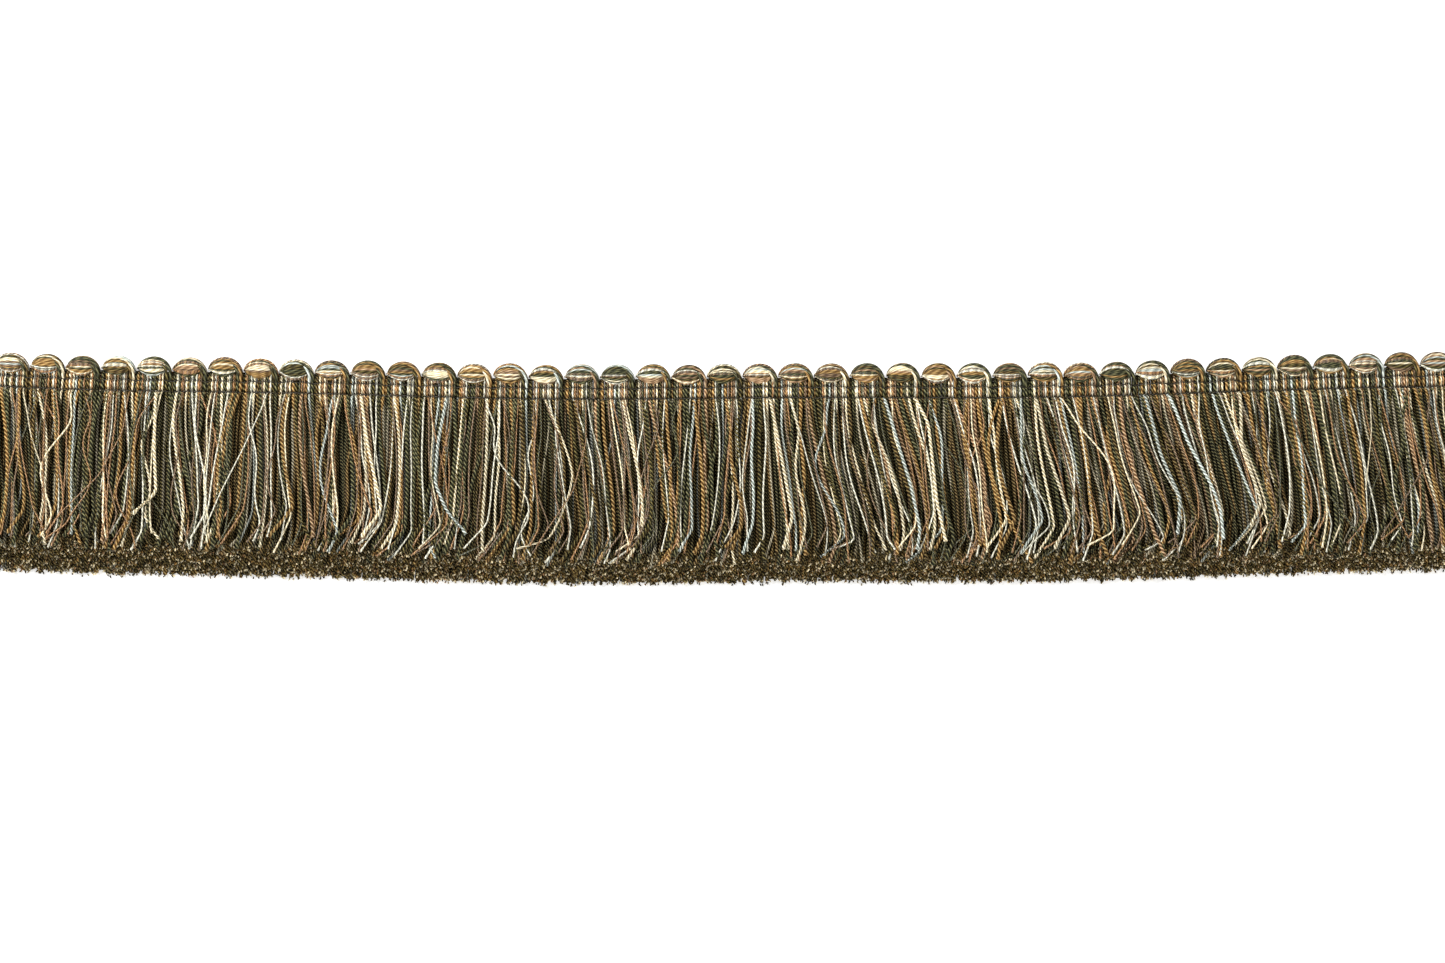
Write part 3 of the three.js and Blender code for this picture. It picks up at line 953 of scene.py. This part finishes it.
# Strands of the brush's face. The deeper ones have a coarser mesh, cling less and are darker lower down.
UPPER_DEPTH = 0.6 * MM
THREAD_STEP, DEEPER_STEP = 2, 2.7  # of the set ring step
YARN_STRAY, THREAD_STRAY = 1.4, 1.9  # millimetres
SHORTER = (-2.9, 1.3)  # millimetres
DEEPER_CLING = 0.6
DEEPER_PLY_TURN = 0.8
# Painted light at the top of a face strand, painted shade where it dives just below, darker towards the cut
TOP_SHADE = 1.15
UPPER_DIVE_SHADE, DEEPER_DIVE_SHADE = 0.15, TOP_SHADE - 0.58  # the light lost just below the heading
UPPER_LOW_SHADE, DEEPER_LOW_SHADE = 0.08, 0.3  # the share lost towards the cut
LOOSE_YARN, LOOSE_THREAD = 0.9, 0.75  # thickness of the loose strands, as a share of the set one


class FRINGE_OT_front_yarns(bpy.types.Operator):
    """Hang the plied yarns and fine threads on the face of the brush"""

    bl_idname = "fringe.front_yarns"
    bl_label = "Front Yarns"

    def execute(self, context):
        skeins = [Skein(f"front_yarns_{part}") for part in BRUSH_PARTS]
        deeper, threads = Skein("deeper_yarns"), Skein("front_threads")
        for index in range(len(HEADS)):
            hang_bundle(skeins[index * len(skeins) // len(HEADS)], deeper, threads, index)
        lay_loose_strands(skeins, threads)
        for skein in (*skeins, deeper):
            finish_piece(skein.make(yarn_material()), "brush_skirt")
        finish_piece(threads.make(thread_material()), "brush_skirt")
        return {"FINISHED"}


def hang_bundle(skein, deeper, threads, index):
    """One bundle's strands on the face of the brush: its upper yarns, deeper yarns and fine threads."""
    sizes = bpy.context.scene.fringe_sizes
    random = np.random.default_rng([SEED, index, 3])
    for strand in bundle(index):
        x = head_x(index) + strand.offset
        thickness = strand.thickness
        start = band_face(x) - WARP_BITE - thickness / 2
        upper = strand.depth < UPPER_DEPTH
        step = sizes.ring_step
        if not upper:
            step *= DEEPER_STEP
        elif not strand.is_yarn:
            step *= THREAD_STEP
        height = face_height(round(BRUSH_LENGTH / step), strand.depth, thickness, start)
        stray = (YARN_STRAY if strand.is_yarn else THREAD_STRAY) * MM
        shorter = random.uniform(*SHORTER) * MM
        path = brush_path(random, x, height, thickness, stray, shorter, 1.0 if upper else DEEPER_CLING)
        colour = dyed(strand.dye, random)
        phase = random.uniform(*PHASES)
        t = np.linspace(0, 1, len(path))
        # painted light near the heading, painted shade as the strand dives in, and darker towards the cut
        shade = TOP_SHADE - smoothstep(0, 0.15, t) * (UPPER_DIVE_SHADE if upper else DEEPER_DIVE_SHADE)
        shade *= 1 - (UPPER_LOW_SHADE if upper else DEEPER_LOW_SHADE) * smoothstep(0.3, 0.9, t)
        if not strand.is_yarn:
            threads.add(
                path, thickness, colour, sizes.thread_turn, sides=4, phase=phase, cut=DULL_AND_SHADED_END
            )
            continue
        (skein if upper else deeper).add(
            path, thickness, colour * shade[:, None], sizes.ply_turn * (1 if upper else DEEPER_PLY_TURN),
            sides=None if upper else 4, phase=phase, cut=DULL_AND_SHADED_END,
        )


def lay_loose_strands(skeins, threads):
    """The few single strands that lie loose on the brush's face."""
    sizes = bpy.context.scene.fringe_sizes
    random = np.random.default_rng([SEED, 30])
    for kind, dye, places in LOOSE_STRANDS:
        is_yarn = kind == "yarn"
        thickness = sizes.yarn * LOOSE_YARN if is_yarn else sizes.thread * LOOSE_THREAD
        path = loose_path(places, thickness, sizes.ring_step)
        if is_yarn:
            part = int(np.clip((path[0, 0] / TRIM_LENGTH + 0.5) * len(skeins), 0, len(skeins) - 1))
            skeins[part].add(path, thickness, dyed(dye, random), sizes.ply_turn, phase=1.0, cut=0.0)
        else:
            threads.add(path, thickness, dyed(dye, random), sizes.thread_turn, sides=4, cut=0.0)


# Layers of the brush under its face: level from 0 on the table to 1 on the face, yarns in each bundle,
# their thickness as a share of the set one, the rings of each yarn, and how light they are painted:
# a painted shade on their dyes
FILLING_LAYERS = (
    ("second_yarns", 0.78, 12, 1.02, 17, 0.36),
    ("inner_yarns", 0.68, 13, 0.95, 5, 0.7),
    ("inner_yarns", 0.55, 13, 0.95, 5, 0.8),
    ("inner_yarns", 0.42, 13, 0.95, 5, 0.9),
    ("inner_yarns", 0.29, 13, 0.95, 5, 1.0),
    ("inner_yarns", 0.15, 13, 0.95, 5, 1.0),
    ("back_yarns", 0.0, 14, 1.15, 10, 1.0),
)
FILLING_THICKNESS = (0.85, 1.15)
LEVEL_VARIES = (-0.06, 0.06)
FILLING_SHORTER = (0.1, 0.25, -0.4, 0.8)  # millimetres: the middle, the spread, the least and the most
SECOND_STRAY, FILLING_STRAY = 0.7, 0.14  # millimetres
FILLING_PLY_TURN = 0.74
FILLING_LOW_SHADE = 0.25  # the share of its light that a yarn loses towards the cut

# The cut ends are partly earthy, and some are darker and some lighter
EARTH_IN_END = 0.65
END_SHADES = (0.45, 0.8, 1.4)
FIBRES_AT_END = 3
FIBRE_SHADES = (0.5, 1.5)
FIBRE_THICKNESS = np.array([0.42, 0.34]) * MM
FIBRE_LENGTH = (0.3, 0.6)  # millimetres
FIBRE_LOWEST = 0.2 * MM


class FRINGE_OT_filling(bpy.types.Operator):
    """Fill the brush behind its face, down to the yarns that lie on the table"""

    bl_idname = "fringe.filling"
    bl_label = "Filling"

    def execute(self, context):
        skeins = {}
        fibres = Skein("end_fibres")
        for number, (name, *layer) in enumerate(FILLING_LAYERS):
            skein = skeins.setdefault(name, Skein(name))
            for index in range(len(HEADS)):
                random = np.random.default_rng([SEED, index, 4 + number])
                offset = 0.5 * (number % 2) + 0.25
                fill_bundle(random, skein, fibres, index, offset, *layer)
        for skein in skeins.values():
            finish_piece(skein.make(yarn_material()), "brush_skirt")
        finish_piece(fibres.make(yarn_material()), "brush_skirt")
        return {"FINISHED"}


def fill_bundle(random, skein, fibres, index, offset, level, yarns, thick, rings, shade):
    """One layer of one bundle's filling, with the loose fibres at its cut ends."""
    sizes = bpy.context.scene.fringe_sizes
    middle, spread, *limits = FILLING_SHORTER
    t = np.linspace(0, 1, rings)
    for place in (np.arange(yarns) + offset) / yarns - 0.5:
        x = head_x(index) + place * PITCH
        thickness = sizes.yarn * thick * random.uniform(*FILLING_THICKNESS)
        own_level = np.clip(level + random.uniform(*LEVEL_VARIES), 0, 1)
        height = thickness / 2 + own_level * (brush_face(t) - thickness)
        shorter = np.clip(random.normal(middle, spread), *limits) * MM
        stray = (SECOND_STRAY if skein.name == "second_yarns" else FILLING_STRAY) * MM
        path = brush_path(random, x, height, thickness, stray, shorter)
        dye = pick(random, FILLING_DYES if skein.name == "inner_yarns" else YARN_DYES)
        # painted shade on the layers under the face
        colour = dyed(dye, random) * shade
        ends = colour * (1 - EARTH_IN_END) + dyed("earth", random) * EARTH_IN_END
        ends = ends * random.choice(END_SHADES)
        colours = colour * (1 - FILLING_LOW_SHADE * smoothstep(0.3, 0.8, t))[:, None]
        colours += (ends - colours) * smoothstep(0.9, 1, t)[:, None]
        skein.add(
            path, thickness, colours, sizes.ply_turn * FILLING_PLY_TURN, sides=4,
            phase=random.uniform(*PHASES), cut=DULL_AND_SHADED_END,
        )
        for _ in range(FIBRES_AT_END):
            fibre = dyed(pick(random, FIBRE_DYES), random) * random.uniform(*FIBRE_SHADES)
            add_fibre(fibres, random, path[-1], thickness, fibre)


def add_fibre(skein, random, tip, thickness, colour):
    """One loose fibre that sticks out of a cut end."""
    root = tip + random.uniform(-0.6, 0.6, 3) * thickness + np.array([0, 0.1 * MM, 0])
    root[2] = max(root[2], FIBRE_LOWEST)
    lean = np.array([random.normal(0, 0.4), -1.0, random.normal(0, 0.3)])
    end = root + lean * random.uniform(*FIBRE_LENGTH) * MM
    end[2] = max(end[2], FIBRE_LOWEST)
    skein.add(np.stack([root, end]), FIBRE_THICKNESS, colour, 1.0, sides=3)


# The view
VIEW_MIDDLE_X = -0.69 * MM
VIEW_MIDDLE_Y = -2.39 * MM
SENSOR_WIDTH = 36.0
FAR_LIMIT = 50

# The floor
FLOOR_SIZE = 6
FLOOR_LEVEL = -0.1 * MM
FLOOR_ROUGHNESS = 0.9
FLOOR_SPECULAR = 0.1

# The lights: where each stands, how wide it is, and its power as a share of the main light's
LIGHTS = (
    ("key_light", (-0.75, 0.4, 1.0), 0.45, 1.0),
    ("fill_light", (0.35, -0.95, 0.8), 0.9, 0.4),
)


class FRINGE_OT_stage(bpy.types.Operator):
    """Set the camera, the pale floor and the soft light"""

    bl_idname = "fringe.stage"
    bl_label = "Stage"

    def execute(self, context):
        stage = context.scene.fringe_stage
        place_camera(context.scene, stage)
        lay_floor(stage)
        light_up(context.scene, stage)
        return {"FINISHED"}


def place_camera(scene, stage):
    data = bpy.data.cameras.new("camera")
    data.lens = stage.lens
    data.sensor_width = SENSOR_WIDTH
    data.clip_end = FAR_LIMIT
    camera = bpy.data.objects.new("camera", data)
    distance = stage.frame_width * stage.lens / SENSOR_WIDTH
    target = Vector((VIEW_MIDDLE_X, VIEW_MIDDLE_Y, 0))
    towards = Vector((0, -math.cos(stage.elevation), math.sin(stage.elevation)))
    camera.location = target + towards * distance
    camera.rotation_euler = (math.pi / 2 - stage.elevation, 0, 0)
    scene.collection.objects.link(camera)
    scene.camera = camera


def lay_floor(stage):
    bpy.ops.mesh.primitive_plane_add(size=FLOOR_SIZE, location=(0, 0, FLOOR_LEVEL))
    floor = bpy.context.object
    floor.name = "floor"
    bpy.ops.object.transform_apply(location=True)
    material = bpy.data.materials.new("pale_floor")
    material.use_nodes = True
    shader = material.node_tree.nodes["Principled BSDF"]
    shader.inputs["Base Color"].default_value = (*stage.floor, 1)
    shader.inputs["Roughness"].default_value = FLOOR_ROUGHNESS
    shader.inputs["Emission Color"].default_value = (*stage.floor, 1)
    shader.inputs["Emission Strength"].default_value = stage.floor_glow
    shader.inputs["Specular IOR Level"].default_value = FLOOR_SPECULAR
    floor.data.materials.append(material)


def light_up(scene, stage):
    world = bpy.data.worlds.new("studio")
    world.use_nodes = True
    background = world.node_tree.nodes["Background"]
    background.inputs["Color"].default_value = (1, 1, 1, 1)
    background.inputs["Strength"].default_value = stage.sky
    scene.world = world
    scene.view_settings.view_transform = "Standard"
    for name, place, width, share in LIGHTS:
        data = bpy.data.lights.new(name, "AREA")
        data.size = width
        data.energy = stage.key * share
        light = bpy.data.objects.new(name, data)
        light.location = place
        light.rotation_euler = (-Vector(place)).to_track_quat("-Z", "Y").to_euler()
        scene.collection.objects.link(light)


class FRINGE_PT_panel(bpy.types.Panel):
    """Lists the steps of the trim in the 3D view's sidebar"""

    bl_label = "Brush Fringe Trim"
    bl_idname = "FRINGE_PT_panel"
    bl_space_type = "VIEW_3D"
    bl_region_type = "UI"
    bl_category = "Trim"

    def draw(self, context):
        for step in STEPS:
            self.layout.operator(step.bl_idname)
        for group in (context.scene.fringe_sizes, context.scene.fringe_dyes, context.scene.fringe_stage):
            box = self.layout.box()
            for key in group.__annotations__:
                box.prop(group, key)


STEPS = (
    FRINGE_OT_stage,
    FRINGE_OT_loop_heads,
    FRINGE_OT_heading,
    FRINGE_OT_front_yarns,
    FRINGE_OT_filling,
)
CLASSES = (FringeSizes, FringeDyes, FringeStage, *STEPS, FRINGE_PT_panel)


def register():
    for each in CLASSES:
        bpy.utils.register_class(each)
    bpy.types.Scene.fringe_sizes = bpy.props.PointerProperty(type=FringeSizes)
    bpy.types.Scene.fringe_dyes = bpy.props.PointerProperty(type=FringeDyes)
    bpy.types.Scene.fringe_stage = bpy.props.PointerProperty(type=FringeStage)


def unregister():
    del bpy.types.Scene.fringe_stage
    del bpy.types.Scene.fringe_dyes
    del bpy.types.Scene.fringe_sizes
    for each in reversed(CLASSES):
        bpy.utils.unregister_class(each)


def main():
    register()
    bpy.ops.object.select_all(action="DESELECT")
    bpy.ops.fringe.stage()
    bpy.ops.fringe.loop_heads()
    bpy.ops.fringe.heading()
    bpy.ops.fringe.front_yarns()
    bpy.ops.fringe.filling()


if __name__ == "__main__":
    main()
